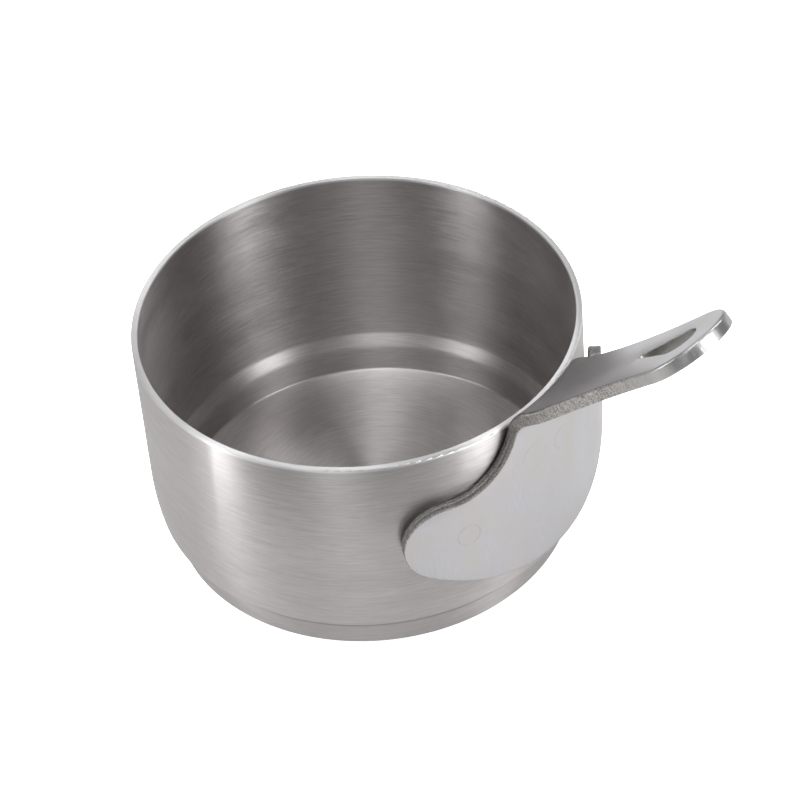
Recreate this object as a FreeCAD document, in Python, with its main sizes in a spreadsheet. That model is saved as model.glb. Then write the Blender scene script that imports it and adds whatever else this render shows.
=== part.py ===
import FreeCAD, Part
import math
import os
import Sketcher

# Shaving mug: a drawn steel bowl, a bent plate handle and the spot welds between them.
# Origin at the centre of the base, +Z up, the handle towards +X. Millimetres and degrees.

SIZES = [
    # bowl, outside
    ("rim_height", 57.6, "base to lip"),
    ("wall_radius", 49.8, "outside radius of the straight wall"),
    ("wall_start", 21.0, "height where the belly arc runs into the straight wall"),
    ("shelf_radius", 48.8, "outside radius at the outer end of the step"),
    ("shelf_height", 10.4, "height of the outer end of the step"),
    ("foot_top_radius", 46.6, "outside radius of the foot under the step"),
    ("foot_top_height", 7.7, "height of the inner corner of the step"),
    ("foot_radius", 45.7, "outside radius of the foot at its lower edge"),
    ("foot_edge_height", 1.1, "height of the foot's lower edge"),
    ("flat_radius", 37.9, "radius of the flat part of the base, which then curves up to the foot"),
    ("sheet", 1.4, "thickness of the bowl sheet"),
    # bowl, corner radii on the outside
    ("base_corner", 2.0, "radius of the foot's lower edge"),
    ("step_corner", 1.2, "inner corner radius of the step"),
    ("shelf_corner", 3.0, "outer corner radius of the step"),
    ("lip_outer_edge", 0.5, "rounding of the lip outside"),
    ("lip_inner_edge", 0.25, "rounding of the lip inside"),
    # handle plate
    ("plate", 2.9, "plate thickness"),
    ("weld_gap", 0.2, "gap between wall and pad at the middle of the pad"),
    ("pad_radius", 56.5, "radius of the pad's outer face, flatter than the wall so the lobes stand off"),
    ("bend_height", 58.3, "height of the fold line on the outer face"),
    ("bend_radius", 4.5, "inside radius of the fold"),
    ("grip_rise", 40.0, "slope of the grip at the fold"),
    ("grip_sweep", 3.5, "further rise of the slope along the grip"),
    ("flatten_length", 9.0, "length over which the round pad turns into the flat grip"),
    ("plate_end", 114.1, "developed length from base level to the grip tip"),
    # outline of the plate, laid flat, made of tangent arcs
    ("lobe_offset", 30.5, "lobe centre from the middle line"),
    ("lobe_height", 35.4, "lobe centre above the base"),
    ("lobe_radius", 9.8, "lobe radius"),
    ("pad_bottom", 16.4, "height of the pad's lower edge at the middle"),
    ("shoulder_radius", 17.6, "hollow shoulder between lobe and grip"),
    ("waist_half", 9.4, "half width of the grip at its waist"),
    ("waist_at", 83.0, "developed position of the waist"),
    ("tip_radius", 10.8, "radius of the grip tip"),
    # hanging slot, a teardrop
    ("slot_round", 4.25, "radius of the wide end"),
    ("slot_point", 0.9, "radius of the narrow end"),
    ("slot_round_at", 102.7, "developed position of the wide end's centre"),
    ("slot_point_at", 90.9, "developed position of the narrow end's centre"),
    # spot welds
    ("weld_radius", 3.2, "radius of one weld"),
    ("lobe_weld_angle", 27.5, "welds in the lobes, angle from the middle"),
    ("lobe_weld_height", 35.2, "height of the welds in the lobes"),
    ("neck_weld_angle", 5.2, "welds under the neck, angle from their middle"),
    ("neck_weld_shift", -2.4, "angle by which the neck welds sit off the middle"),
    ("neck_weld_height", 46.6, "height of the welds under the neck"),
]

CLOSE = 0.02  # two places nearer than this are the same
OUTLINE_STEP = 1.3  # spacing of the points that carry the outline on to the bent plate
FEWEST_STEPS = 4  # points on the shortest arc of the outline
CROSS_LINES = 24  # divisions of the plate surface across its width
MARGIN = 6.0  # how far the plate surface runs past the outline before it is trimmed
FOLD_REACH = 3.0  # half the length of plate whose cross lines lie closest together
FOLD_STEP = 0.5  # spacing of the cross lines in the fold
ROOT_STEP = 1.0  # spacing where the round pad turns into the flat grip
PLAIN_STEP = 4.0  # spacing everywhere else

doc = FreeCAD.newDocument("shaving_mug")
sheet = doc.addObject("Spreadsheet::Sheet", "Sizes")
for row, (alias, value, meaning) in enumerate(SIZES, start=1):
    sheet.set("A%d" % row, alias)
    sheet.set("B%d" % row, str(value))
    sheet.set("C%d" % row, meaning)
    sheet.setAlias("B%d" % row, alias)
doc.recompute()


def size(alias):
    return float(sheet.get(alias))


def origin_feature(body, role):
    for feature in body.Origin.OriginFeatures:
        if feature.Role == role:
            return feature
    raise ValueError(role)


# ---------------------------------------------------------------- bowl
def bowl_section(body):
    """Closed half section of the bowl's outer form, its corners tied to the sheet."""
    sketch = body.newObject("Sketcher::SketchObject", "BowlSection")
    sketch.AttachmentSupport = [(origin_feature(body, "XZ_Plane"), "")]
    sketch.MapMode = "FlatFace"
    corners = [
        (None, None),
        ("flat_radius", None),
        ("foot_radius", "foot_edge_height"),
        ("foot_top_radius", "foot_top_height"),
        ("shelf_radius", "shelf_height"),
        ("wall_radius", "wall_start"),
        ("wall_radius", "rim_height"),
        (None, "rim_height"),
    ]
    # the corner each arc starts from: one leaves the flat base, one runs into the wall
    rise = corners.index(("flat_radius", None))
    belly = corners.index(("shelf_radius", "shelf_height"))
    points = []
    for across, up in corners:
        x = size(across) if across else 0.0
        points.append(FreeCAD.Vector(x, size(up) if up else 0.0, 0))
    count = len(points)
    for i in range(count):
        start = points[i]
        end = points[(i + 1) % count]
        out = end.x - start.x
        up = end.y - start.y
        if i == rise:
            radius = (out ** 2 + up ** 2) / (2 * up)
            centre = FreeCAD.Vector(start.x, start.y + radius, 0)
            first = -math.pi / 2
            last = first + math.asin(out / radius)
        elif i == belly:
            radius = (out ** 2 + up ** 2) / (2 * out)
            centre = FreeCAD.Vector(end.x - radius, end.y, 0)
            first = -math.asin(up / radius)
            last = 0.0
        else:
            sketch.addGeometry(Part.LineSegment(start, end), False)
            continue
        circle = Part.Circle(centre, FreeCAD.Vector(0, 0, 1), radius)
        sketch.addGeometry(Part.ArcOfCircle(circle, first, last), False)
    for i in range(count):
        kind = "Tangent" if i in (rise - 1, belly) else "Coincident"
        sketch.addConstraint(Sketcher.Constraint(kind, i, 2, (i + 1) % count, 1))
    for i, (across, up) in enumerate(corners):
        for axis, alias in (("X", across), ("Y", up)):
            value = size(alias) if alias else 0.0
            name = "Distance" + axis
            index = sketch.addConstraint(Sketcher.Constraint(name, -1, 1, i, 1, value))
            if alias:
                sketch.setExpression("Constraints[%d]" % index, "Sizes." + alias)
    return sketch


def rings_at(shape, radius, height):
    """Names of the circular edges about Z with the given radius and height."""
    names = []
    for number, edge in enumerate(shape.Edges, start=1):
        curve = edge.Curve
        if isinstance(curve, Part.Circle):
            same_radius = abs(curve.Radius - radius) < CLOSE
            same_height = abs(curve.Center.z - height) < CLOSE
            if same_radius and same_height:
                names.append("Edge%d" % number)
    return names


def round_ring(body, base, name, radius_alias, radius, height):
    fillet = body.newObject("PartDesign::Fillet", name)
    fillet.Base = (base, rings_at(base.Shape, radius, height))
    fillet.setExpression("Radius", "Sizes." + radius_alias)
    doc.recompute()
    return fillet


def make_bowl():
    body = doc.addObject("PartDesign::Body", "bowl")
    section = bowl_section(body)
    turned = body.newObject("PartDesign::Revolution", "BowlTurned")
    turned.Profile = section
    turned.ReferenceAxis = (origin_feature(body, "Z_Axis"), [""])
    turned.Angle = 360
    section.Visibility = False
    doc.recompute()
    solid = turned
    for name, corner, across, up in (
        ("BaseCorner", "base_corner", "foot_radius", "foot_edge_height"),
        ("StepCorner", "step_corner", "foot_top_radius", "foot_top_height"),
        ("ShelfCorner", "shelf_corner", "shelf_radius", "shelf_height"),
    ):
        solid = round_ring(body, solid, name, corner, size(across), size(up))
    top = [
        "Face%d" % number
        for number, face in enumerate(solid.Shape.Faces, start=1)
        if abs(face.CenterOfMass.z - size("rim_height")) < CLOSE
    ]
    hollow = body.newObject("PartDesign::Thickness", "BowlHollow")
    hollow.Base = (solid, top)
    hollow.Reversed = True
    hollow.Mode = 0
    hollow.Join = 0
    hollow.setExpression("Value", "Sizes.sheet")
    doc.recompute()
    outside = round_ring(body, hollow, "LipOutside", "lip_outer_edge",
                         size("wall_radius"), size("rim_height"))
    round_ring(body, outside, "LipInside", "lip_inner_edge",
               size("wall_radius") - size("sheet"), size("rim_height"))
    return body


# ---------------------------------------------------------------- handle
def smooth(t):
    t = min(max(t, 0.0), 1.0)
    return t * t * (3 - 2 * t)


def face_reach():
    """Distance from the bowl axis to the pad's outer face on the middle line."""
    return size("wall_radius") + size("weld_gap") + size("plate")


def plate_path(s):
    """Outer face of the plate in the XZ plane: x, z and slope angle at developed length s."""
    start_slope = math.radians(size("grip_rise"))
    turn = math.pi / 2 - start_slope
    radius = size("bend_radius")
    fold = size("bend_height") - radius * math.tan(turn / 2)
    if s <= fold:
        return face_reach(), s, math.pi / 2
    angle = min((s - fold) / radius, turn)
    x = face_reach() + radius * (1 - math.cos(angle))
    z = fold + radius * math.sin(angle)
    if s <= fold + radius * turn:
        return x, z, math.pi / 2 - angle
    along = s - fold - radius * turn
    grip = size("plate_end") - fold - radius * turn
    bend = math.radians(size("grip_sweep")) / grip
    slope = start_slope + bend * along
    x += (math.sin(slope) - math.sin(start_slope)) / bend
    z -= (math.cos(slope) - math.cos(start_slope)) / bend
    return x, z, slope


def plate_point(across, s, depth):
    """Point of the plate at width across and developed length s, depth below its outer face."""
    x, z, slope = plate_path(s)
    flat = (s - size("bend_height") + size("bend_radius") / 2) / size("flatten_length")
    curve = (1 - smooth(flat)) / size("pad_radius")
    angle = across * curve
    if angle:
        y = math.sin(angle) / curve
        drop = (1 - math.cos(angle)) / curve
    else:
        y = across
        drop = 0.0
    y -= depth * math.sin(angle)
    drop += depth * math.cos(angle)
    return FreeCAD.Vector(x - drop * math.sin(slope), y, z + drop * math.cos(slope))


def direction(a, b):
    return math.atan2(b[1] - a[1], b[0] - a[0])


def half_outline():
    """Tangent arcs of half the flat outline, bottom middle to tip: centre, radius, two angles."""
    lobe = (size("lobe_offset"), size("lobe_height"))
    lobe_radius = size("lobe_radius")
    # lower edge, centred on the middle line and holding the lobe inside it
    up = lobe[1] - size("pad_bottom")
    low_radius = (lobe[0] ** 2 + up ** 2 - lobe_radius ** 2) / (2 * (up - lobe_radius))
    low = (0.0, size("pad_bottom") + low_radius)
    # waist, a hollow arc touching the tip circle from outside
    tip_radius = size("tip_radius")
    tip = (0.0, size("plate_end") - tip_radius)
    rise = tip[1] - size("waist_at")
    half = size("waist_half")
    waist_radius = (half ** 2 + rise ** 2 - tip_radius ** 2) / (2 * (tip_radius - half))
    waist = (half + waist_radius, size("waist_at"))
    # shoulder, a hollow arc touching the lobe from outside and the waist arc from inside
    shoulder_radius = size("shoulder_radius")
    to_lobe = lobe_radius + shoulder_radius
    to_waist = waist_radius - shoulder_radius
    gap = math.dist(lobe, waist)
    along = (to_lobe ** 2 - to_waist ** 2 + gap ** 2) / (2 * gap)
    off = math.sqrt(to_lobe ** 2 - along ** 2)
    ux = (waist[0] - lobe[0]) / gap
    uy = (waist[1] - lobe[1]) / gap
    shoulder = (lobe[0] + along * ux - off * uy, lobe[1] + along * uy + off * ux)
    lobe_start = direction(low, lobe)
    lobe_end = direction(lobe, shoulder)
    waist_start = direction(waist, shoulder)
    tip_start = direction(tip, waist)
    return [
        (low, low_radius, -math.pi / 2, lobe_start),
        (lobe, lobe_radius, lobe_start, lobe_end),
        (shoulder, shoulder_radius, lobe_end - math.pi, waist_start),
        (waist, waist_radius, waist_start + 2 * math.pi, tip_start + math.pi),
        (tip, tip_radius, tip_start, math.pi / 2),
    ]


def outline_points():
    """Points along the half outline, about one step apart."""
    points = []
    for centre, radius, start, end in half_outline():
        steps = max(FEWEST_STEPS, round(abs(end - start) * radius / OUTLINE_STEP))
        for i in range(steps):
            angle = start + (end - start) * i / steps
            x = centre[0] + radius * math.cos(angle)
            points.append((x, centre[1] + radius * math.sin(angle)))
    points[0] = (0.0, size("pad_bottom"))
    points.append((0.0, size("plate_end")))
    return points


def plate_stations():
    """Developed lengths of the cross lines of the plate surface, close together in the fold."""
    fold = size("bend_height")
    flat = fold + size("flatten_length")
    stations = []
    for start, end, step in (
        (size("pad_bottom") - MARGIN, fold - FOLD_REACH, PLAIN_STEP),
        (fold - FOLD_REACH, fold + FOLD_REACH, FOLD_STEP),
        (fold + FOLD_REACH, flat, ROOT_STEP),
        (flat, size("plate_end") + MARGIN, PLAIN_STEP),
    ):
        count = math.ceil((end - start) / step)
        stations += [start + (end - start) * i / count for i in range(count)]
    stations.append(size("plate_end") + MARGIN)
    return stations


def plate_surface(depth):
    """Smooth surface of the endless plate at one depth below its outer face."""
    half = size("lobe_offset") + size("lobe_radius") + MARGIN
    across = [half * (2 * i / CROSS_LINES - 1) for i in range(CROSS_LINES + 1)]
    grid = [[plate_point(w, s, depth) for w in across] for s in plate_stations()]
    surface = Part.BSplineSurface()
    surface.interpolate(grid)
    return surface


def edges_on(surface, points, depth):
    """The two mirrored halves of the outline as edges lying on the surface."""
    edges = []
    for side in (1, -1):
        flat_points = []
        for across, s in points:
            u, v = surface.parameter(plate_point(side * across, s, depth))
            flat_points.append(FreeCAD.Base.Vector2d(u, v))
        curve = Part.Geom2d.BSplineCurve2d()
        curve.interpolate(flat_points)
        edges.append(curve.toShape(surface))
    return edges


def slot_cutter():
    """Teardrop prism through the grip, square to it."""
    wide = size("slot_round")
    narrow = size("slot_point")
    length = size("slot_round_at") - size("slot_point_at")
    lean = math.asin((wide - narrow) / length)
    along = math.sin(lean)
    side = math.cos(lean)
    vector = FreeCAD.Vector
    narrow_side = vector(-narrow * along, narrow * side, 0)
    wide_side = vector(length - wide * along, wide * side, 0)
    mirrored = [vector(p.x, -p.y, 0) for p in (narrow_side, wide_side)]
    outline = Part.Wire([
        Part.LineSegment(narrow_side, wide_side).toShape(),
        Part.Arc(wide_side, vector(length + wide, 0, 0), mirrored[1]).toShape(),
        Part.LineSegment(mirrored[1], mirrored[0]).toShape(),
        Part.Arc(mirrored[0], vector(-narrow, 0, 0), narrow_side).toShape(),
    ])
    reach = 3 * size("plate")  # clear of both faces
    cutter = Part.Face(outline).extrude(vector(0, 0, 2 * reach))
    cutter.translate(vector(0, 0, -reach))
    x, z, slope = plate_path(size("slot_point_at"))
    cutter.rotate(vector(0, 0, 0), vector(0, 1, 0), -math.degrees(slope))
    cutter.translate(vector(x, 0, z))
    return cutter


def make_handle():
    points = outline_points()
    skins = []
    rims = []
    for depth in (0.0, size("plate")):
        surface = plate_surface(depth)
        edges = edges_on(surface, points, depth)
        rims.append(edges)
        skins.append(Part.Face(surface, Part.Wire(edges)))
    walls = [Part.makeRuledSurface(outer, inner) for outer, inner in zip(*rims)]
    shell = Part.makeShell(skins + walls)
    shell.sewShape()
    plate = Part.Solid(Part.Shell(shell.Faces))
    if plate.Volume < 0:
        plate.reverse()
    handle = doc.addObject("Part::Feature", "handle")
    handle.Shape = plate.cut(slot_cutter())
    return handle


# ---------------------------------------------------------------- spot welds
def cylinder(name, radius_alias, height_alias):
    item = doc.addObject("Part::Cylinder", name)
    item.setExpression("Radius", radius_alias)
    item.setExpression("Height", height_alias)
    return item


def make_spot_welds():
    """Discs that fill the gap between wall and pad where the two are fused."""
    outer = cylinder("GapOutside", "Sizes.pad_radius - Sizes.plate", "Sizes.rim_height")
    reach = "Sizes.wall_radius + Sizes.weld_gap + Sizes.plate"
    outer.setExpression("Placement.Base.x", reach + " - Sizes.pad_radius")
    inner = cylinder("GapInside", "Sizes.wall_radius", "Sizes.rim_height")
    gap = doc.addObject("Part::Cut", "Gap")
    gap.Base = outer
    gap.Tool = inner
    shift = size("neck_weld_shift")
    spots = [
        (size("lobe_weld_angle"), size("lobe_weld_height")),
        (-size("lobe_weld_angle"), size("lobe_weld_height")),
        (shift + size("neck_weld_angle"), size("neck_weld_height")),
        (shift - size("neck_weld_angle"), size("neck_weld_height")),
    ]
    pegs = []
    for number, (azimuth, height) in enumerate(spots, start=1):
        peg = cylinder("Peg%d" % number, "Sizes.weld_radius", "Sizes.pad_radius")
        turn = FreeCAD.Rotation(FreeCAD.Vector(0, 0, 1), azimuth)
        lay = FreeCAD.Rotation(FreeCAD.Vector(0, 1, 0), 90)
        peg.Placement = FreeCAD.Placement(FreeCAD.Vector(0, 0, height), turn * lay)
        pegs.append(peg)
    bundle = doc.addObject("Part::MultiFuse", "Pegs")
    bundle.Shapes = pegs
    welds = doc.addObject("Part::Common", "spot_welds")
    welds.Base = gap
    welds.Tool = bundle
    return welds


# ---------------------------------------------------------------- build and write
parts = {"bowl": make_bowl(), "handle": make_handle(), "spot_welds": make_spot_welds()}
for label, item in parts.items():
    item.Label = label
doc.recompute()

for item in doc.Objects:
    if "Invalid" in item.State or "Error" in item.State:
        raise RuntimeError("%s did not build" % item.Name)

os.makedirs("parts", exist_ok=True)
for label, item in parts.items():
    shape = item.Shape
    if shape.isNull() or not shape.isValid():
        raise RuntimeError("%s has no valid shape" % label)
    shape.exportStep("parts/%s.step" % label)
    box = shape.optimalBoundingBox()
    print(label, len(shape.Solids), "solids", round(shape.Volume, 1), "mm3", box)
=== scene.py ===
import math

import bmesh
import bpy
import numpy as np
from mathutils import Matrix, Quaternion, Vector, noise


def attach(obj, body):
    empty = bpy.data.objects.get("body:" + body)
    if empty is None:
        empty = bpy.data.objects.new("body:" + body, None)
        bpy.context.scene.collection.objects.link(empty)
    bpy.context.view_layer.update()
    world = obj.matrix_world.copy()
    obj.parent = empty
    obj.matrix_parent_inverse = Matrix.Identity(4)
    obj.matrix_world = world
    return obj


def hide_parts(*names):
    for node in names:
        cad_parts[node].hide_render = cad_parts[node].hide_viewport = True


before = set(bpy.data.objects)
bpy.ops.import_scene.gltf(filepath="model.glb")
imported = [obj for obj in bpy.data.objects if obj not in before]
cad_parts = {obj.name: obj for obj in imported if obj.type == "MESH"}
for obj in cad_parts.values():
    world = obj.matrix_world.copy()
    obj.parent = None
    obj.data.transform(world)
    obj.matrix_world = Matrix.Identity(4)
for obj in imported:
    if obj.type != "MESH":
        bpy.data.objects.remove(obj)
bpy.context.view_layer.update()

MM = 0.001  # one millimetre, in metres

# ---------------------------------------------------------------- camera
CAMERA_AT = (0.34721, -0.39942, 0.51025)
CAMERA_AIM = (0.00891, 0.00188, 0.03524)
CAMERA_ROLL = 4.95  # degrees
LENS = 142.38  # millimetres, as is the sensor's width
SENSOR_WIDTH = 36.0
CLIP_NEAR = 0.01
CLIP_FAR = 20.0


def make_camera():
    data = bpy.data.cameras.new("camera")
    data.lens = LENS
    data.sensor_width = SENSOR_WIDTH
    data.clip_start = CLIP_NEAR
    data.clip_end = CLIP_FAR
    cam = bpy.data.objects.new("camera", data)
    bpy.context.scene.collection.objects.link(cam)
    look = Vector(CAMERA_AIM) - Vector(CAMERA_AT)
    turn = look.to_track_quat("-Z", "Y") @ Quaternion((0, 0, 1), -math.radians(CAMERA_ROLL))
    cam.location = CAMERA_AT
    cam.rotation_mode = "QUATERNION"
    cam.rotation_quaternion = turn
    bpy.context.scene.camera = cam


# ---------------------------------------------------------------- node helper
# sockets of the Mix node that carry colours
COLOUR_A = 6
COLOUR_B = 7
COLOUR_RESULT = 2


class Nodes:
    """A material and short ways to add nodes to it."""

    def __init__(self, name):
        self.mat = bpy.data.materials.new(name)
        self.mat.use_nodes = True
        self.tree = self.mat.node_tree
        self.bsdf = self.tree.nodes["Principled BSDF"]

    def add(self, kind, settings=None, **inputs):
        node = self.tree.nodes.new(kind)
        for key, value in (settings or {}).items():
            setattr(node, key, value)
        for key, value in inputs.items():
            self.put(node.inputs[key], value)
        return node

    def put(self, socket, value):
        if isinstance(value, bpy.types.NodeSocket):
            self.tree.links.new(value, socket)
        else:
            socket.default_value = value

    def place(self):
        return self.add("ShaderNodeTexCoord").outputs["Object"]

    def maths(self, operation, *values):
        node = self.add("ShaderNodeMath", {"operation": operation})
        for socket, value in zip(node.inputs, values):
            self.put(socket, value)
        return node.outputs[0]

    def scaled(self, vector, scale):
        node = self.add("ShaderNodeMapping")
        self.put(node.inputs["Vector"], vector)
        node.inputs["Scale"].default_value = scale
        return node.outputs[0]

    def ramp(self, value, low, high, out_low, out_high):
        node = self.add("ShaderNodeMapRange")
        for key, item in zip(("Value", "From Min", "From Max", "To Min", "To Max"),
                             (value, low, high, out_low, out_high)):
            self.put(node.inputs[key], item)
        return node.outputs[0]

    def mix(self, factor, dark, light):
        node = self.add("ShaderNodeMix", {"data_type": "RGBA"})
        self.put(node.inputs["Factor"], factor)
        self.put(node.inputs[COLOUR_A], dark)
        self.put(node.inputs[COLOUR_B], light)
        return node.outputs[COLOUR_RESULT]

    def bump(self, height, distance, under=None):
        node = self.add("ShaderNodeBump")
        node.inputs["Strength"].default_value = 1.0
        node.inputs["Distance"].default_value = distance
        self.put(node.inputs["Height"], height)
        if under is not None:
            self.put(node.inputs["Normal"], under)
        return node.outputs[0]


# ---------------------------------------------------------------- studio
WHITE = (1, 1, 1, 1)
WORLD_GREY = 0.08
LAMP_TINT = (0.97, 0.982, 1.0)
LAMP_AIM = Vector((0, 0, 0.03))  # middle of the bowl
SHEET_SIDES = 96
SWEEP_RADIUS = 2.5
SWEEP_HEIGHT = 3.0
SWEEP_BEND_POINTS = 13
SWEEP_GREY = 0.9
SWEEP_GLOW = 0.95
TABLE_DROP = 0.1 * MM
TABLE_GREY = 0.5
TABLE_GLOW = 0.40
TABLE_FAR_GLOW = 0.66
TABLE_FADE = (0.08, 0.22)  # between these distances behind the bowl the table brightens
GRIP_LOOKS = 140  # azimuth of the part of the table that the grip's upper face mirrors

# soft boxes: name, azimuth and elevation in degrees, distance, width, height, brightness
SOFT_BOXES = [
    ("left", -115, 34, 0.30, 0.075, 0.22, 7.0),
    ("far_left", -155, 25, 1.2, 0.50, 0.60, 1.2),
    ("right", 7, 34, 0.30, 0.075, 0.22, 9.5),
    ("far_right", 80, 35, 1.2, 0.30, 0.50, 5.0),
    ("top", -95, 82, 1.2, 0.60, 0.60, 3.8),
    ("high_front", -60, 52, 1.2, 0.35, 0.35, 2.4),
    ("front", -60, 28, 1.2, 0.35, 0.50, 1.6),
    ("back", 131, 44, 1.4, 1.30, 0.50, 2.0),
    ("rear_right", 95, 55, 1.2, 0.40, 0.40, 4.0),
    ("rear_left", 170, 55, 1.2, 0.40, 0.40, 2.2),
]


def soft_box(name, azimuth, elevation, distance, width, height, bright):
    """A rectangular lamp that faces the bowl, with power in step with its area."""
    data = bpy.data.lights.new(name, "AREA")
    data.shape = "RECTANGLE"
    data.size = width
    data.size_y = height
    data.energy = bright * math.pi * width * height
    data.color = LAMP_TINT
    lamp = bpy.data.objects.new(name, data)
    flat = distance * math.cos(math.radians(elevation))
    lamp.location = (
        flat * math.cos(math.radians(azimuth)),
        flat * math.sin(math.radians(azimuth)),
        distance * math.sin(math.radians(elevation)),
    )
    aim = LAMP_AIM - lamp.location
    lamp.rotation_euler = aim.to_track_quat("-Z", "Y").to_euler()
    lamp.visible_camera = False
    bpy.context.scene.collection.objects.link(lamp)


def make_studio():
    scene = bpy.context.scene
    scene.view_settings.view_transform = "Standard"
    scene.view_settings.look = "None"
    world = bpy.data.worlds.new("studio")
    scene.world = world
    world.use_nodes = True
    back = world.node_tree.nodes["Background"]
    back.inputs["Color"].default_value = WHITE
    back.inputs["Strength"].default_value = WORLD_GREY
    for box in SOFT_BOXES:
        soft_box(*box)
    make_sweep()
    make_table()


def stage_nodes(name, grey):
    """A dull grey that glows by itself; the caller says how strongly."""
    nodes = Nodes(name)
    nodes.bsdf.inputs["Base Color"].default_value = (grey, grey, grey, 1)
    nodes.bsdf.inputs["Roughness"].default_value = 1.0
    nodes.bsdf.inputs["Specular IOR Level"].default_value = 0.0
    nodes.bsdf.inputs["Emission Color"].default_value = WHITE
    return nodes


def sweep_white():
    nodes = stage_nodes("sweep_white", SWEEP_GREY)
    nodes.bsdf.inputs["Emission Strength"].default_value = SWEEP_GLOW
    return nodes.mat


def table_grey():
    """Grey that brightens far behind the bowl, where the grip's upper face looks."""
    nodes = stage_nodes("table_grey", TABLE_GREY)
    behind = nodes.add("ShaderNodeVectorMath", {"operation": "DOT_PRODUCT"})
    nodes.put(behind.inputs[0], nodes.place())
    turn = math.radians(GRIP_LOOKS)
    behind.inputs[1].default_value = (math.cos(turn), math.sin(turn), 0)
    glow = nodes.ramp(behind.outputs["Value"], *TABLE_FADE, TABLE_GLOW, TABLE_FAR_GLOW)
    nodes.put(nodes.bsdf.inputs["Emission Strength"], glow)
    return nodes.mat


def turned_sheet(name, profile, material):
    """A round sheet about Z: profile is a list of radius and height, from the middle outwards."""
    bm = bmesh.new()
    verts = [bm.verts.new((r, 0, z)) for r, z in profile]
    edges = [bm.edges.new(pair) for pair in zip(verts, verts[1:])]
    bmesh.ops.spin(bm, geom=verts + edges, cent=(0, 0, 0), axis=(0, 0, 1),
                   angle=math.tau, steps=SHEET_SIDES, use_merge=True)
    bmesh.ops.remove_doubles(bm, verts=bm.verts, dist=MM)
    bmesh.ops.recalc_face_normals(bm, faces=bm.faces)
    mesh = bpy.data.meshes.new(name)
    bm.to_mesh(mesh)
    bm.free()
    mesh.shade_smooth()
    mesh.materials.append(material)
    sheet = bpy.data.objects.new(name, mesh)
    bpy.context.scene.collection.objects.link(sheet)
    return sheet


def make_sweep():
    """White floor that curves up into a backdrop all round; the steel doesn't mirror it."""
    bend = SWEEP_RADIUS / 2
    curve = [(SWEEP_RADIUS + bend * math.sin(t), bend * (1 - math.cos(t)))
             for t in np.linspace(0, math.pi / 2, SWEEP_BEND_POINTS)]
    profile = [(0, 0)] + curve + [(SWEEP_RADIUS + bend, SWEEP_HEIGHT)]
    sweep = turned_sheet("sweep", profile, sweep_white())
    sweep.visible_glossy = False
    sweep.visible_diffuse = False
    sweep.visible_shadow = False


def make_table():
    """Grey table just under the floor, there only for the steel to mirror."""
    profile = [(0, -TABLE_DROP), (SWEEP_RADIUS, -TABLE_DROP)]
    table = turned_sheet("table", profile, table_grey())
    table.visible_camera = False


# ---------------------------------------------------------------- materials
NOISE = (0.3, 0.7)  # nearly all values of a noise lie between these
METAL = 1.0  # every piece is bare steel
# below, a pair named _TONE holds the noise values between which a colour takes over,
# a pair named _ROUGH the roughness that noise gives or adds, at its least and at its most,
# and a number named _SHARE says how much of something is mixed in

# painted shade: the outer foot is darkened, and the crease over it most of all
FOOT_CREASE = 8.1 * MM  # height of the crease above the foot
CREASE_WIDTH = 1.0 * MM
CREASE_DEEPEST = 0.1 * MM
CREASE_SHADE_SHARE = 0.8
FOOT_SHADE_SHARE = 0.03
FOOT_BLEND = 0.4 * MM
OUTWARD = 5 * MM  # fully outside from here on: distance from the axis times the normal's outward part
BELOW_RIM = (56.2 * MM, 56.9 * MM)  # heights between which the streaks fade out
LIP = (56.8 * MM, 57.1 * MM)  # heights between which the ground lip begins
FINE_STREAK = (5.0 * MM, 0.24 * MM)  # length and width
MIDDLE_STREAK = (14 * MM, 0.9 * MM)
BROAD_STREAK = (60 * MM, 6 * MM)
FINE_WEIGHT = 0.85  # the middle streaks have the rest
STREAK_CONTRAST = 0.6  # how much the finer layers of the noise count
STREAK_TONE = (0.35, 0.65)
STREAK_ROUGH = (0.34, 0.42)
BROAD_ROUGH = (-0.03, 0.05)
LIP_ROUGH = 0.18  # added on the lip
LIP_SHARE = 0.45
BRUSHED = 0.9  # how far the gloss is drawn out across the streaks
BRUSHED_TURN = 0.25  # in turns, because the tangent runs along the streaks
STREAK_RELIEF = 0.028 * MM
STREAK_DARK = (0.405, 0.384, 0.376, 1)
STREAK_LIGHT = (0.53, 0.507, 0.497, 1)
# colour of the painted shade on the foot and in its crease
PAINTED_SHADE_COLOUR = (0.16, 0.155, 0.165, 1)
LIP_COLOUR = (0.93, 0.925, 0.93, 1)

# azimuth in degrees, height and radius in millimetres
WELD_PRINTS = [(-27.5, 35.5, 2.7), (-7.6, 47.5, 3.5), (2.8, 46.0, 2.8)]
PRINT_WIDTH = 0.25 * MM
PRINT_PATCH = 5 * MM  # size of the patches in which the prints show
PRINT_TONE = (0.42, 0.56)
PRINT_SHARE = 0.35
PAD_FACE = 52.9 * MM  # the pad's outer face from the axis
PLATE_GRAIN = (2.5 * MM, 0.22 * MM, 2.5 * MM)  # sizes along X, Y and Z
PLATE_SCRATCH = (9 * MM, 0.5 * MM, 9 * MM)
PLATE_CLOUD = (14 * MM, 9 * MM, 14 * MM)
PLATE_ROUGH = (0.32, 0.40)
CLOUD_ROUGH = (-0.03, 0.03)
CLOUD_TONE = (0.45, 0.65)
CLOUD_SHARE = 0.8
SCRATCH_WEIGHT = 0.5  # the grain has the rest
PLATE_RELIEF = 0.006 * MM
PRINT_RELIEF = -0.02 * MM
PLATE_DARK = (0.465, 0.455, 0.47, 1)
PLATE_LIGHT = (0.525, 0.515, 0.53, 1)
CLOUD_COLOUR = (0.50, 0.48, 0.465, 1)
PRINT_COLOUR = (0.25, 0.25, 0.26, 1)

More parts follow.
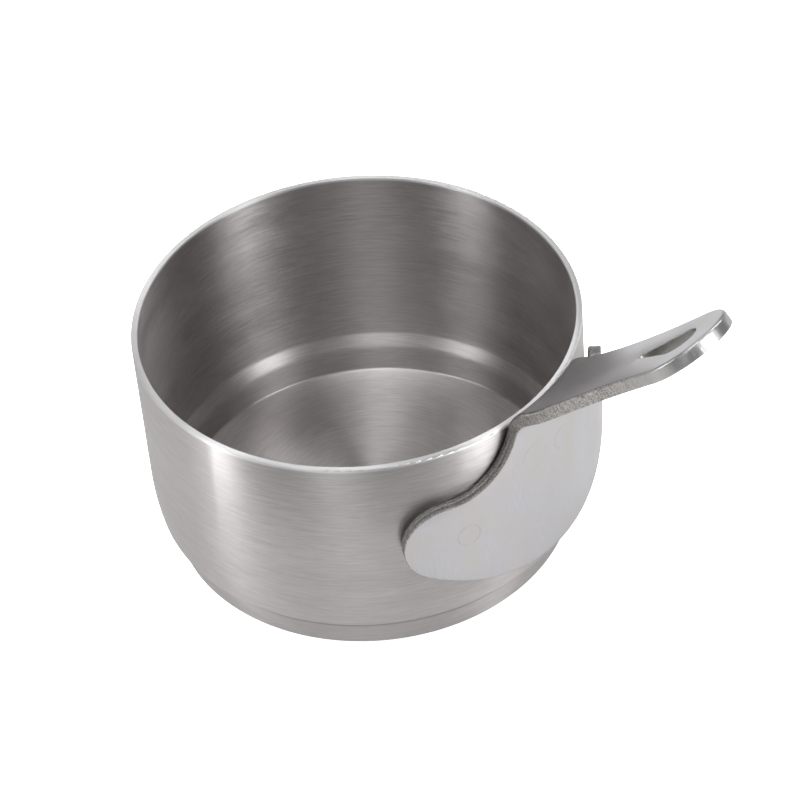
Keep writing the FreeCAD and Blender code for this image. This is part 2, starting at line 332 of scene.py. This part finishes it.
GRIP_SLOPE = 42.5  # degrees that the grip rises
PUNCH_LENGTH = 2.5 * MM  # of the lines that the punch left through the plate
GROUND_FROM = 80 * MM  # the grip's edge is ground bright beyond this distance from the axis
GROUND = (GROUND_FROM - 6 * MM, GROUND_FROM + 4 * MM)  # where the sheared look gives way
GRIP_HEIGHTS = (48 * MM, 56 * MM)  # above these the cut edge has lines through the plate
CHIP_HEIGHTS = (38 * MM, 48 * MM)  # below these it has bright chips
DARKER_WITHIN = (52 * MM, 62 * MM)  # the cut edge is darker nearer to the axis than these
EDGE_GRAIN = 0.30 * MM
EDGE_CHIP = 0.45 * MM
EDGE_LINE = 0.4 * MM
EDGE_TONE = (0.41, 0.59)
EDGE_ROUGH = (0.42, 0.36)  # where sheared, and where ground
CHIP_TONE = (0.57, 0.63)
LINE_SHARE = 0.35  # of the lines in the grip's grain
CHIPS_ABOVE = 0.15  # share of the chips' brightness that is left above
DARKENING_SHARE = 0.45
GROUND_SHARE = 0.8
EDGE_RELIEF = 0.09 * MM
EDGE_DARK = (0.22, 0.207, 0.194, 1)
EDGE_LIGHT = (0.52, 0.497, 0.468, 1)
CHIP_COLOUR = (0.88, 0.865, 0.84, 1)
DARKENING_COLOUR = (0.12, 0.115, 0.105, 1)
GROUND_COLOUR = (0.45, 0.445, 0.44, 1)

PUNCH_LINE = 0.25 * MM
PUNCH_ROUGH = (0.32, 0.46)
PUNCH_RELIEF = 0.03 * MM
PUNCH_DARK = (0.27, 0.26, 0.245, 1)
PUNCH_LIGHT = (0.40, 0.385, 0.365, 1)

WELD_GRAIN = 0.5 * MM
WELD_ROUGH = (0.4, 0.6)
WELD_RELIEF = 0.05 * MM
WELD_DARK = (0.25, 0.24, 0.23, 1)
WELD_LIGHT = (0.45, 0.44, 0.43, 1)


def rings(nodes, place, radius, size, detail):
    """Streaks that run round the Z axis: long in the turning direction, fine across it."""
    along, across = size
    near = nodes.scaled(place, (1 / along, 1 / along, 1 / across))
    field = nodes.add("ShaderNodeTexNoise", {"noise_dimensions": "4D"}, Scale=1.0, Detail=detail)
    field.inputs["Roughness"].default_value = STREAK_CONTRAST
    nodes.put(field.inputs["Vector"], near)
    nodes.put(field.inputs["W"], nodes.maths("DIVIDE", radius, across))
    return field.outputs["Fac"]


def painted_foot_shade(nodes, flat, height):
    """Painted shade: darker steel below the outer step, darkest in its crease; nothing on the inside.
    """
    shape = nodes.add("ShaderNodeNewGeometry")
    outward = nodes.add("ShaderNodeVectorMath", {"operation": "DOT_PRODUCT"})
    nodes.put(outward.inputs[0], flat)
    nodes.put(outward.inputs[1], shape.outputs["Normal"])
    outside = nodes.ramp(outward.outputs["Value"], 0, OUTWARD, 0, 1)
    off = nodes.maths("ABSOLUTE", nodes.maths("SUBTRACT", height, FOOT_CREASE))
    crease = nodes.ramp(off, CREASE_DEEPEST, CREASE_WIDTH, CREASE_SHADE_SHARE, 0)
    foot = nodes.ramp(height, FOOT_CREASE - FOOT_BLEND, FOOT_CREASE + FOOT_BLEND, FOOT_SHADE_SHARE, 0)
    return nodes.maths("MULTIPLY", nodes.maths("MAXIMUM", crease, foot), outside)


def turned_steel():
    """The bowl: fine turning streaks, painted shade on the outer foot and darkest in the crease over
    it, and a bright ground lip.
    """
    nodes = Nodes("turned_steel")
    place = nodes.place()
    flat = nodes.scaled(place, (1, 1, 0))
    radius = nodes.add("ShaderNodeVectorMath", {"operation": "LENGTH"})
    nodes.put(radius.inputs[0], flat)
    radius = radius.outputs["Value"]
    fine = rings(nodes, place, radius, FINE_STREAK, detail=4.0)
    middle = rings(nodes, place, radius, MIDDLE_STREAK, detail=3.0)
    broad = rings(nodes, place, radius, BROAD_STREAK, detail=2.0)
    streak = nodes.maths("ADD", nodes.maths("MULTIPLY", fine, FINE_WEIGHT),
                         nodes.maths("MULTIPLY", middle, 1 - FINE_WEIGHT))
    height = nodes.add("ShaderNodeSeparateXYZ")
    nodes.put(height.inputs[0], place)
    below_rim = nodes.ramp(height.outputs["Z"], *BELOW_RIM, 1, 0)
    streak = nodes.maths("SUBTRACT", streak, 0.5)
    streak = nodes.maths("MULTIPLY_ADD", streak, below_rim, 0.5)
    tone = nodes.mix(nodes.ramp(streak, *STREAK_TONE, 0, 1), STREAK_DARK, STREAK_LIGHT)
    # painted shade on the outer foot and in the crease over it
    dull = painted_foot_shade(nodes, flat, height.outputs["Z"])
    tone = nodes.mix(dull, tone, PAINTED_SHADE_COLOUR)
    lip = nodes.ramp(height.outputs["Z"], *LIP, 0, 1)
    tone = nodes.mix(nodes.maths("MULTIPLY", lip, LIP_SHARE), tone, LIP_COLOUR)
    nodes.put(nodes.bsdf.inputs["Base Color"], tone)
    nodes.bsdf.inputs["Metallic"].default_value = METAL
    rough = nodes.maths("ADD", nodes.ramp(fine, *NOISE, *STREAK_ROUGH),
                        nodes.ramp(broad, *NOISE, *BROAD_ROUGH))
    rough = nodes.maths("MULTIPLY_ADD", lip, LIP_ROUGH, rough)
    nodes.put(nodes.bsdf.inputs["Roughness"], rough)
    nodes.bsdf.inputs["Anisotropic"].default_value = BRUSHED
    nodes.bsdf.inputs["Anisotropic Rotation"].default_value = BRUSHED_TURN
    tangent = nodes.add("ShaderNodeTangent", {"direction_type": "RADIAL", "axis": "Z"})
    nodes.put(nodes.bsdf.inputs["Tangent"], tangent.outputs[0])
    relief = nodes.bump(streak, STREAK_RELIEF)
    nodes.put(nodes.bsdf.inputs["Normal"], relief)
    return nodes.mat


def stretched_noise(nodes, place, sizes, detail):
    """Noise whose spots have the given sizes along X, Y and Z."""
    field = nodes.add("ShaderNodeTexNoise", None, Scale=1.0, Detail=detail)
    nodes.put(field.inputs["Vector"], nodes.scaled(place, [1 / size for size in sizes]))
    return field.outputs["Fac"]


def even_noise(nodes, place, size, detail):
    return stretched_noise(nodes, place, (size, size, size), detail)


def weld_prints(nodes, place):
    """Faint rings that the welding electrodes left on the pad, 1 on a ring and 0 off it."""
    total = None
    for azimuth, height, radius in WELD_PRINTS:
        turn = math.radians(azimuth)
        centre = (PAD_FACE * math.cos(turn), PAD_FACE * math.sin(turn), height * MM)
        apart = nodes.add("ShaderNodeVectorMath", {"operation": "DISTANCE"})
        nodes.put(apart.inputs[0], place)
        apart.inputs[1].default_value = centre
        off = nodes.maths("SUBTRACT", apart.outputs["Value"], radius * MM)
        ring = nodes.ramp(nodes.maths("ABSOLUTE", off), 0, PRINT_WIDTH, 1, 0)
        total = ring if total is None else nodes.maths("MAXIMUM", total, ring)
    patchy = even_noise(nodes, place, PRINT_PATCH, detail=1.0)
    return nodes.maths("MULTIPLY", total, nodes.ramp(patchy, *PRINT_TONE, 0, 1))


def plate_steel():
    """The plate's two faces: satin grain, faint clouds and the weld prints."""
    nodes = Nodes("plate_steel")
    place = nodes.place()
    grain = stretched_noise(nodes, place, PLATE_GRAIN, detail=4.0)
    scratch = stretched_noise(nodes, place, PLATE_SCRATCH, detail=2.0)
    cloud = stretched_noise(nodes, place, PLATE_CLOUD, detail=2.0)
    prints = weld_prints(nodes, place)
    tone = nodes.mix(nodes.ramp(grain, *NOISE, 0, 1), PLATE_DARK, PLATE_LIGHT)
    tone = nodes.mix(nodes.ramp(cloud, *CLOUD_TONE, 0, CLOUD_SHARE), tone, CLOUD_COLOUR)
    tone = nodes.mix(nodes.maths("MULTIPLY", prints, PRINT_SHARE), tone, PRINT_COLOUR)
    nodes.put(nodes.bsdf.inputs["Base Color"], tone)
    nodes.bsdf.inputs["Metallic"].default_value = METAL
    rough = nodes.maths("ADD", nodes.ramp(grain, *NOISE, *PLATE_ROUGH),
                        nodes.ramp(cloud, *NOISE, *CLOUD_ROUGH))
    nodes.put(nodes.bsdf.inputs["Roughness"], rough)
    lines = nodes.maths("ADD", nodes.maths("MULTIPLY", grain, 1 - SCRATCH_WEIGHT),
                        nodes.maths("MULTIPLY", scratch, SCRATCH_WEIGHT))
    relief = nodes.bump(lines, PLATE_RELIEF)
    relief = nodes.bump(prints, PRINT_RELIEF, under=relief)
    nodes.put(nodes.bsdf.inputs["Normal"], relief)
    return nodes.mat


def punch_lines(nodes, place, width):
    """Noise drawn out into lines that run through the grip's thickness."""
    turned = nodes.add("ShaderNodeMapping")
    nodes.put(turned.inputs["Vector"], place)
    turned.inputs["Rotation"].default_value = (0, math.radians(GRIP_SLOPE), 0)
    return stretched_noise(nodes, turned.outputs[0], (width, width, PUNCH_LENGTH), detail=3.0)


def cut_steel():
    """Sheared edge of the plate: dull and granular, ground bright at the grip's tip."""
    nodes = Nodes("cut_steel")
    place = nodes.place()
    grain = even_noise(nodes, place, EDGE_GRAIN, detail=5.0)
    spots = even_noise(nodes, place, EDGE_CHIP, detail=2.0)
    along = nodes.add("ShaderNodeSeparateXYZ")
    nodes.put(along.inputs[0], place)
    on_grip = nodes.ramp(along.outputs["Z"], *GRIP_HEIGHTS, 0, LINE_SHARE)
    lines = nodes.maths("SUBTRACT", punch_lines(nodes, place, EDGE_LINE), grain)
    grain = nodes.maths("MULTIPLY_ADD", lines, on_grip, grain)
    ground = nodes.ramp(along.outputs["X"], *GROUND, 0, 1)
    torn = nodes.maths("SUBTRACT", 1.0, ground)
    chipped = nodes.ramp(along.outputs["Z"], *CHIP_HEIGHTS, 1, CHIPS_ABOVE)
    bright = nodes.maths("MULTIPLY", nodes.ramp(spots, *CHIP_TONE, 0, 1), torn)
    bright = nodes.maths("MULTIPLY", bright, chipped)
    tone = nodes.mix(nodes.ramp(grain, *EDGE_TONE, 0, 1), EDGE_DARK, EDGE_LIGHT)
    tone = nodes.mix(bright, tone, CHIP_COLOUR)
    # the cut edge is made darker nearer to the axis
    darkened = nodes.ramp(along.outputs["X"], *DARKER_WITHIN, DARKENING_SHARE, 0)
    tone = nodes.mix(darkened, tone, DARKENING_COLOUR)
    tone = nodes.mix(nodes.maths("MULTIPLY", ground, GROUND_SHARE), tone, GROUND_COLOUR)
    nodes.put(nodes.bsdf.inputs["Base Color"], tone)
    nodes.bsdf.inputs["Metallic"].default_value = METAL
    nodes.put(nodes.bsdf.inputs["Roughness"], nodes.ramp(ground, 0, 1, *EDGE_ROUGH))
    height = nodes.maths("MULTIPLY", grain, torn)
    nodes.put(nodes.bsdf.inputs["Normal"], nodes.bump(height, EDGE_RELIEF))
    return nodes.mat


def punched_steel():
    """Wall of the hanging slot: fine lines the way the punch went through."""
    nodes = Nodes("punched_steel")
    place = nodes.place()
    lines = punch_lines(nodes, place, PUNCH_LINE)
    tone = nodes.mix(lines, PUNCH_DARK, PUNCH_LIGHT)
    nodes.put(nodes.bsdf.inputs["Base Color"], tone)
    nodes.bsdf.inputs["Metallic"].default_value = METAL
    nodes.put(nodes.bsdf.inputs["Roughness"], nodes.ramp(lines, *NOISE, *PUNCH_ROUGH))
    nodes.put(nodes.bsdf.inputs["Normal"], nodes.bump(lines, PUNCH_RELIEF))
    return nodes.mat


def weld_steel():
    """The dull, rough metal of the welds."""
    nodes = Nodes("weld_steel")
    grain = nodes.add("ShaderNodeTexNoise", None, Scale=1 / WELD_GRAIN, Detail=4.0)
    nodes.put(grain.inputs["Vector"], nodes.place())
    tone = nodes.mix(grain.outputs["Fac"], WELD_DARK, WELD_LIGHT)
    nodes.put(nodes.bsdf.inputs["Base Color"], tone)
    nodes.bsdf.inputs["Metallic"].default_value = METAL
    nodes.put(nodes.bsdf.inputs["Roughness"], nodes.ramp(grain.outputs["Fac"], *NOISE, *WELD_ROUGH))
    nodes.put(nodes.bsdf.inputs["Normal"], nodes.bump(grain.outputs["Fac"], WELD_RELIEF))
    return nodes.mat


# ---------------------------------------------------------------- handle
SHARP = math.radians(35)  # sharper edges part the plate's faces from its cut edges
CORNER = math.radians(60)  # sharper edges of the bowl stay sharp
SAME_PLACE = 0.001 * MM  # vertices nearer than this are joined
EDGE_STEP = 0.35 * MM  # longest step along a cut edge
EDGE_ROWS = (0.03, 0.08, 0.15, 0.23, 0.31, 0.38, 0.44, 0.50, 0.57, 0.64, 0.71, 0.77, 0.82, 0.87, 0.91,
             0.945, 0.97, 0.99)  # places of the rows through the plate, 0 at the outer face
SHEARED = 0.085 * MM  # roughness of the outline's edge
PUNCHED = 0.02 * MM  # roughness of the slot's edge
CRISP_ROUND = 0.18 * MM  # rounding at the outer face, and at both faces of the slot
SOFT_ROUND = 0.60 * MM  # rounding of the outline at the face towards the bowl
BORDER = 0.9 * MM  # the skins have no inner vertex nearer to the outline than this
PLATE = 2.9 * MM  # its thickness
FACE_SLOT = 0  # material slots of the handle
CUT_SLOT = 1
PUNCH_SLOT = 2

GRIP_FROM = 55 * MM  # distance from the axis where the pad's edge begins to turn into the grip's
GRIP_OVER = 6 * MM
TORN_FROM = 0.30  # shares of the way through the plate: smooth before, torn after
TORN_OVER = 0.2
GROOVE_AT = 0.42
GROOVE_WIDTH = 0.06
SMOOTH_SHARE = 0.35  # roughness of the smooth part, against 1 in the torn part
COARSE_GRAIN = 1.1 * MM
FINE_GRAIN = 0.45 * MM
FINE_SHIFT = Vector((7, 3, 5))  # keeps the fine grain apart from the coarse
COARSE_HEIGHT = 0.9  # heights are shares of the edge's roughness
FINE_HEIGHT = 0.7
TIP_OVER = 5 * MM  # length in which the torn edge turns into the ground tip
FACET = 1.6 * MM  # width of the flats that grinding left at the tip
FACET_HEIGHT = 0.3


def part_way(value, start, over):
    """0 up to start, 1 from start + over on, and evenly between."""
    return min(1.0, max(0.0, (value - start) / over))


def regions_of(bm):
    """Groups of faces that the sharp edges part from each other, largest area first."""
    sharp = {e for e in bm.edges if e.calc_face_angle() > SHARP}
    seen = set()
    groups = []
    for first in bm.faces:
        if first in seen:
            continue
        seen.add(first)
        group = [first]
        for face in group:
            for edge in face.edges:
                if edge in sharp:
                    continue
                for other in edge.link_faces:
                    if other not in seen:
                        seen.add(other)
                        group.append(other)
        groups.append(group)
    return sorted(groups, key=lambda g: -sum(f.calc_area() for f in g))


def open_loops(bm):
    """Open edges as rings of vertices, shortest first, each from its outermost vertex towards +Y."""
    left = {e for e in bm.edges if len(e.link_faces) == 1}
    loops = []
    while left:
        edge = left.pop()
        ring = [edge.verts[0], edge.verts[1]]
        while True:
            ahead = [e for e in ring[-1].link_edges if e in left]
            if not ahead:
                break
            left.discard(ahead[0])
            ring.append(ahead[0].other_vert(ring[-1]))
        ring.pop()
        start = max(range(len(ring)), key=lambda i: ring[i].co.x)
        ring = ring[start:] + ring[:start]
        if ring[1].co.y < ring[-1].co.y:
            ring = ring[:1] + ring[:0:-1]
        loops.append(ring)
    return sorted(loops, key=ring_length)


def ring_length(ring):
    return sum((a.co - b.co).length for a, b in zip(ring, ring[1:] + ring[:1]))


def along_ring(points, targets):
    """For each target its nearest place on a closed line, as length from the start and as point.

    The lengths from the start to the line's own points come with them.
    """
    ends = np.roll(points, -1, axis=0)
    spans = ends - points
    lengths = np.linalg.norm(spans, axis=1)
    starts = np.concatenate(([0.0], np.cumsum(lengths)))
    places = []
    for target in targets:
        share = np.einsum("ij,ij->i", target - points, spans) / lengths ** 2
        share = np.clip(share, 0, 1)
        near = points + spans * share[:, None]
        best = np.argmin(np.linalg.norm(near - target, axis=1))
        places.append(starts[best] + share[best] * lengths[best])
    total = starts[-1]
    places = np.array(places)
    half = len(places) // 2
    # near the seam a place may be found on the round before or after
    places[:half][places[:half] > 0.75 * total] -= total
    places[half:][places[half:] < 0.25 * total] += total
    places = np.maximum.accumulate(places)
    closed = np.vstack([points, points[:1]])
    spots = np.stack([np.interp(places % total, starts, closed[:, k]) for k in range(3)], axis=1)
    return places, spots, starts


def rough_edge(bm, outer, inner, outward, depth, soft, material):
    """Fills the gap between two rings with a fine grid shaped like a sheared edge.

    outward is 1 where the metal's edge looks away from the rings' middle, and -1 round a hole.
    """
    a = np.array([v.co for v in outer])
    b = np.array([v.co for v in inner])
    places, spots, starts = along_ring(b, a)
    run = np.roll(a, -1, axis=0) - np.roll(a, 1, axis=0)
    side = np.cross(run, spots - a)
    side /= np.linalg.norm(side, axis=1)[:, None]
    if np.sum(side * (a - a.mean(axis=0))) * outward < 0:
        side = -side
    rows = [outer]
    for share in EDGE_ROWS:
        row = []
        for i in range(len(a)):
            point = Vector(a[i] * (1 - share) + spots[i] * share)
            row.append(bm.verts.new(point + Vector(side[i]) * edge_shape(point, share, depth, soft)))
        rows.append(row)
    for i, vert in enumerate(outer):
        vert.co += Vector(side[i]) * edge_shape(vert.co, 0.0, depth, soft)
    inner_places = starts[:-1]
    total = starts[-1]
    wrapped = np.concatenate((places - total, places, places + total))
    for i, vert in enumerate(inner):
        near = np.argmin(np.abs(wrapped - inner_places[i])) % len(a)
        vert.co += Vector(side[near]) * edge_shape(vert.co, 1.0, depth, soft)
    count = len(a)
    for row, below in zip(rows, rows[1:]):
        for i in range(count):
            j = (i + 1) % count
            face = bm.faces.new((row[i], row[j], below[j], below[i]))
            face.material_index = material
    join_rings(bm, rows[-1], places, inner, starts, material)


def join_rings(bm, last, places, inner, starts, material):
    """Triangles between two rings of unlike counts, each vertex with the nearest across the gap."""
    count = len(last)
    size = len(inner)
    total = starts[-1]
    i = 0
    j = 0
    while i < count or j < size:
        next_i = places[i + 1] if i + 1 < count else places[0] + total
        next_j = starts[j + 1] if j < size else math.inf
        if j >= size or (i < count and next_i <= next_j):
            corners = (last[i % count], last[(i + 1) % count], inner[j % size])
            i += 1
        else:
            corners = (last[i % count], inner[(j + 1) % size], inner[j % size])
            j += 1
        face = bm.faces.new(corners)
        face.material_index = material


def rounding(height, radius):
    """How far a rounded corner draws the edge in, at a height above its face."""
    if height >= radius:
        return 0.0
    return radius - math.sqrt(radius ** 2 - (radius - height) ** 2)


def edge_shape(point, share, depth, soft):
    """How far the cut edge stands out at one point, share of the way through the plate."""
    on_pad = 1 - part_way(point.x, GRIP_FROM, GRIP_OVER)
    drawn = rounding(share * PLATE, CRISP_ROUND) + rounding((1 - share) * PLATE, soft)
    torn = part_way(share, TORN_FROM, TORN_OVER)
    groove = -on_pad * math.exp(-((share - GROOVE_AT) / GROOVE_WIDTH) ** 2)
    grain = (COARSE_HEIGHT * noise.noise(point / COARSE_GRAIN)
             + FINE_HEIGHT * noise.noise(point / FINE_GRAIN + FINE_SHIFT))
    rough = (SMOOTH_SHARE + (1 - SMOOTH_SHARE) * torn) * grain
    tip = part_way(point.x, GROUND_FROM, TIP_OVER)
    cell = noise.cell(Vector((point.x / FACET, point.y / FACET, 0.5)))
    facet = FACET_HEIGHT * (cell - 0.5)
    return ((groove + rough) * (1 - tip) + facet * tip) * depth - drawn


def clear_border(bm):
    """Removes the inner vertices so close to the border that its rounding would pass them."""
    border = [e for e in bm.edges if len(e.link_faces) == 1]
    rim = {v for e in border for v in e.verts}
    starts = np.array([e.verts[0].co for e in border])
    spans = np.array([e.verts[1].co for e in border]) - starts
    near = []
    for vert in bm.verts:
        if vert in rim:
            continue
        off = np.array(vert.co) - starts
        share = np.clip(np.sum(off * spans, axis=1) / np.sum(spans ** 2, axis=1), 0, 1)
        if np.min(np.linalg.norm(off - spans * share[:, None], axis=1)) < BORDER:
            near.append(vert)
    bmesh.ops.dissolve_verts(bm, verts=near)
    bmesh.ops.triangulate(bm, faces=bm.faces)


def away_from_bowl(ring):
    """Large for the plate's outer and lower face, small for the face towards the bowl."""
    return sum(v.co.x - v.co.z for v in ring) / len(ring)


def skins_of(cad):
    """The plate's two large faces as one open mesh, without its cut edges."""
    bm = bmesh.new()
    bm.from_mesh(cad.data)
    bmesh.ops.remove_doubles(bm, verts=bm.verts, dist=SAME_PLACE)
    for group in regions_of(bm)[2:]:
        bmesh.ops.delete(bm, geom=group, context="FACES_KEEP_BOUNDARY")
    loose = [e for e in bm.edges if not e.link_faces]
    bmesh.ops.delete(bm, geom=loose, context="EDGES")
    return bm


def divide_border(bm):
    """Divides the border's edges until none is longer than the step."""
    while True:
        long = [e for e in bm.edges if len(e.link_faces) == 1 and e.calc_length() > EDGE_STEP]
        if not long:
            break
        bmesh.ops.subdivide_edges(bm, edges=long, cuts=1)
    bmesh.ops.triangulate(bm, faces=bm.faces)


def make_handle():
    """The plate again, with its two faces kept and its cut edges built finer."""
    bm = skins_of(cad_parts["handle"])
    clear_border(bm)
    divide_border(bm)
    for face in bm.faces:
        face.material_index = FACE_SLOT
    loops = open_loops(bm)
    slot = sorted(loops[:2], key=away_from_bowl, reverse=True)
    outline = sorted(loops[2:], key=away_from_bowl, reverse=True)
    rough_edge(bm, *outline, 1, SHEARED, SOFT_ROUND, CUT_SLOT)
    rough_edge(bm, *slot, -1, PUNCHED, CRISP_ROUND, PUNCH_SLOT)
    bmesh.ops.recalc_face_normals(bm, faces=bm.faces)
    mesh = bpy.data.meshes.new("bent_handle")
    bm.to_mesh(mesh)
    bm.free()
    mesh.shade_smooth()
    handle = bpy.data.objects.new("bent_handle", mesh)
    bpy.context.scene.collection.objects.link(handle)
    mesh.materials.append(plate_steel())
    mesh.materials.append(cut_steel())
    mesh.materials.append(punched_steel())
    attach(handle, "root")
    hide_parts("handle")


def dress(node, material):
    node.data.materials.clear()
    node.data.materials.append(material)


def smooth(node):
    """Shades the curved faces as one surface and keeps the real corners sharp."""
    node.data.shade_smooth()
    weld = node.modifiers.new("join", "WELD")
    weld.merge_threshold = SAME_PLACE
    split = node.modifiers.new("corners", "EDGE_SPLIT")
    split.split_angle = CORNER


make_camera()
make_studio()
dress(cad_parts["bowl"], turned_steel())
smooth(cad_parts["bowl"])
dress(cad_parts["spot_welds"], weld_steel())
make_handle()
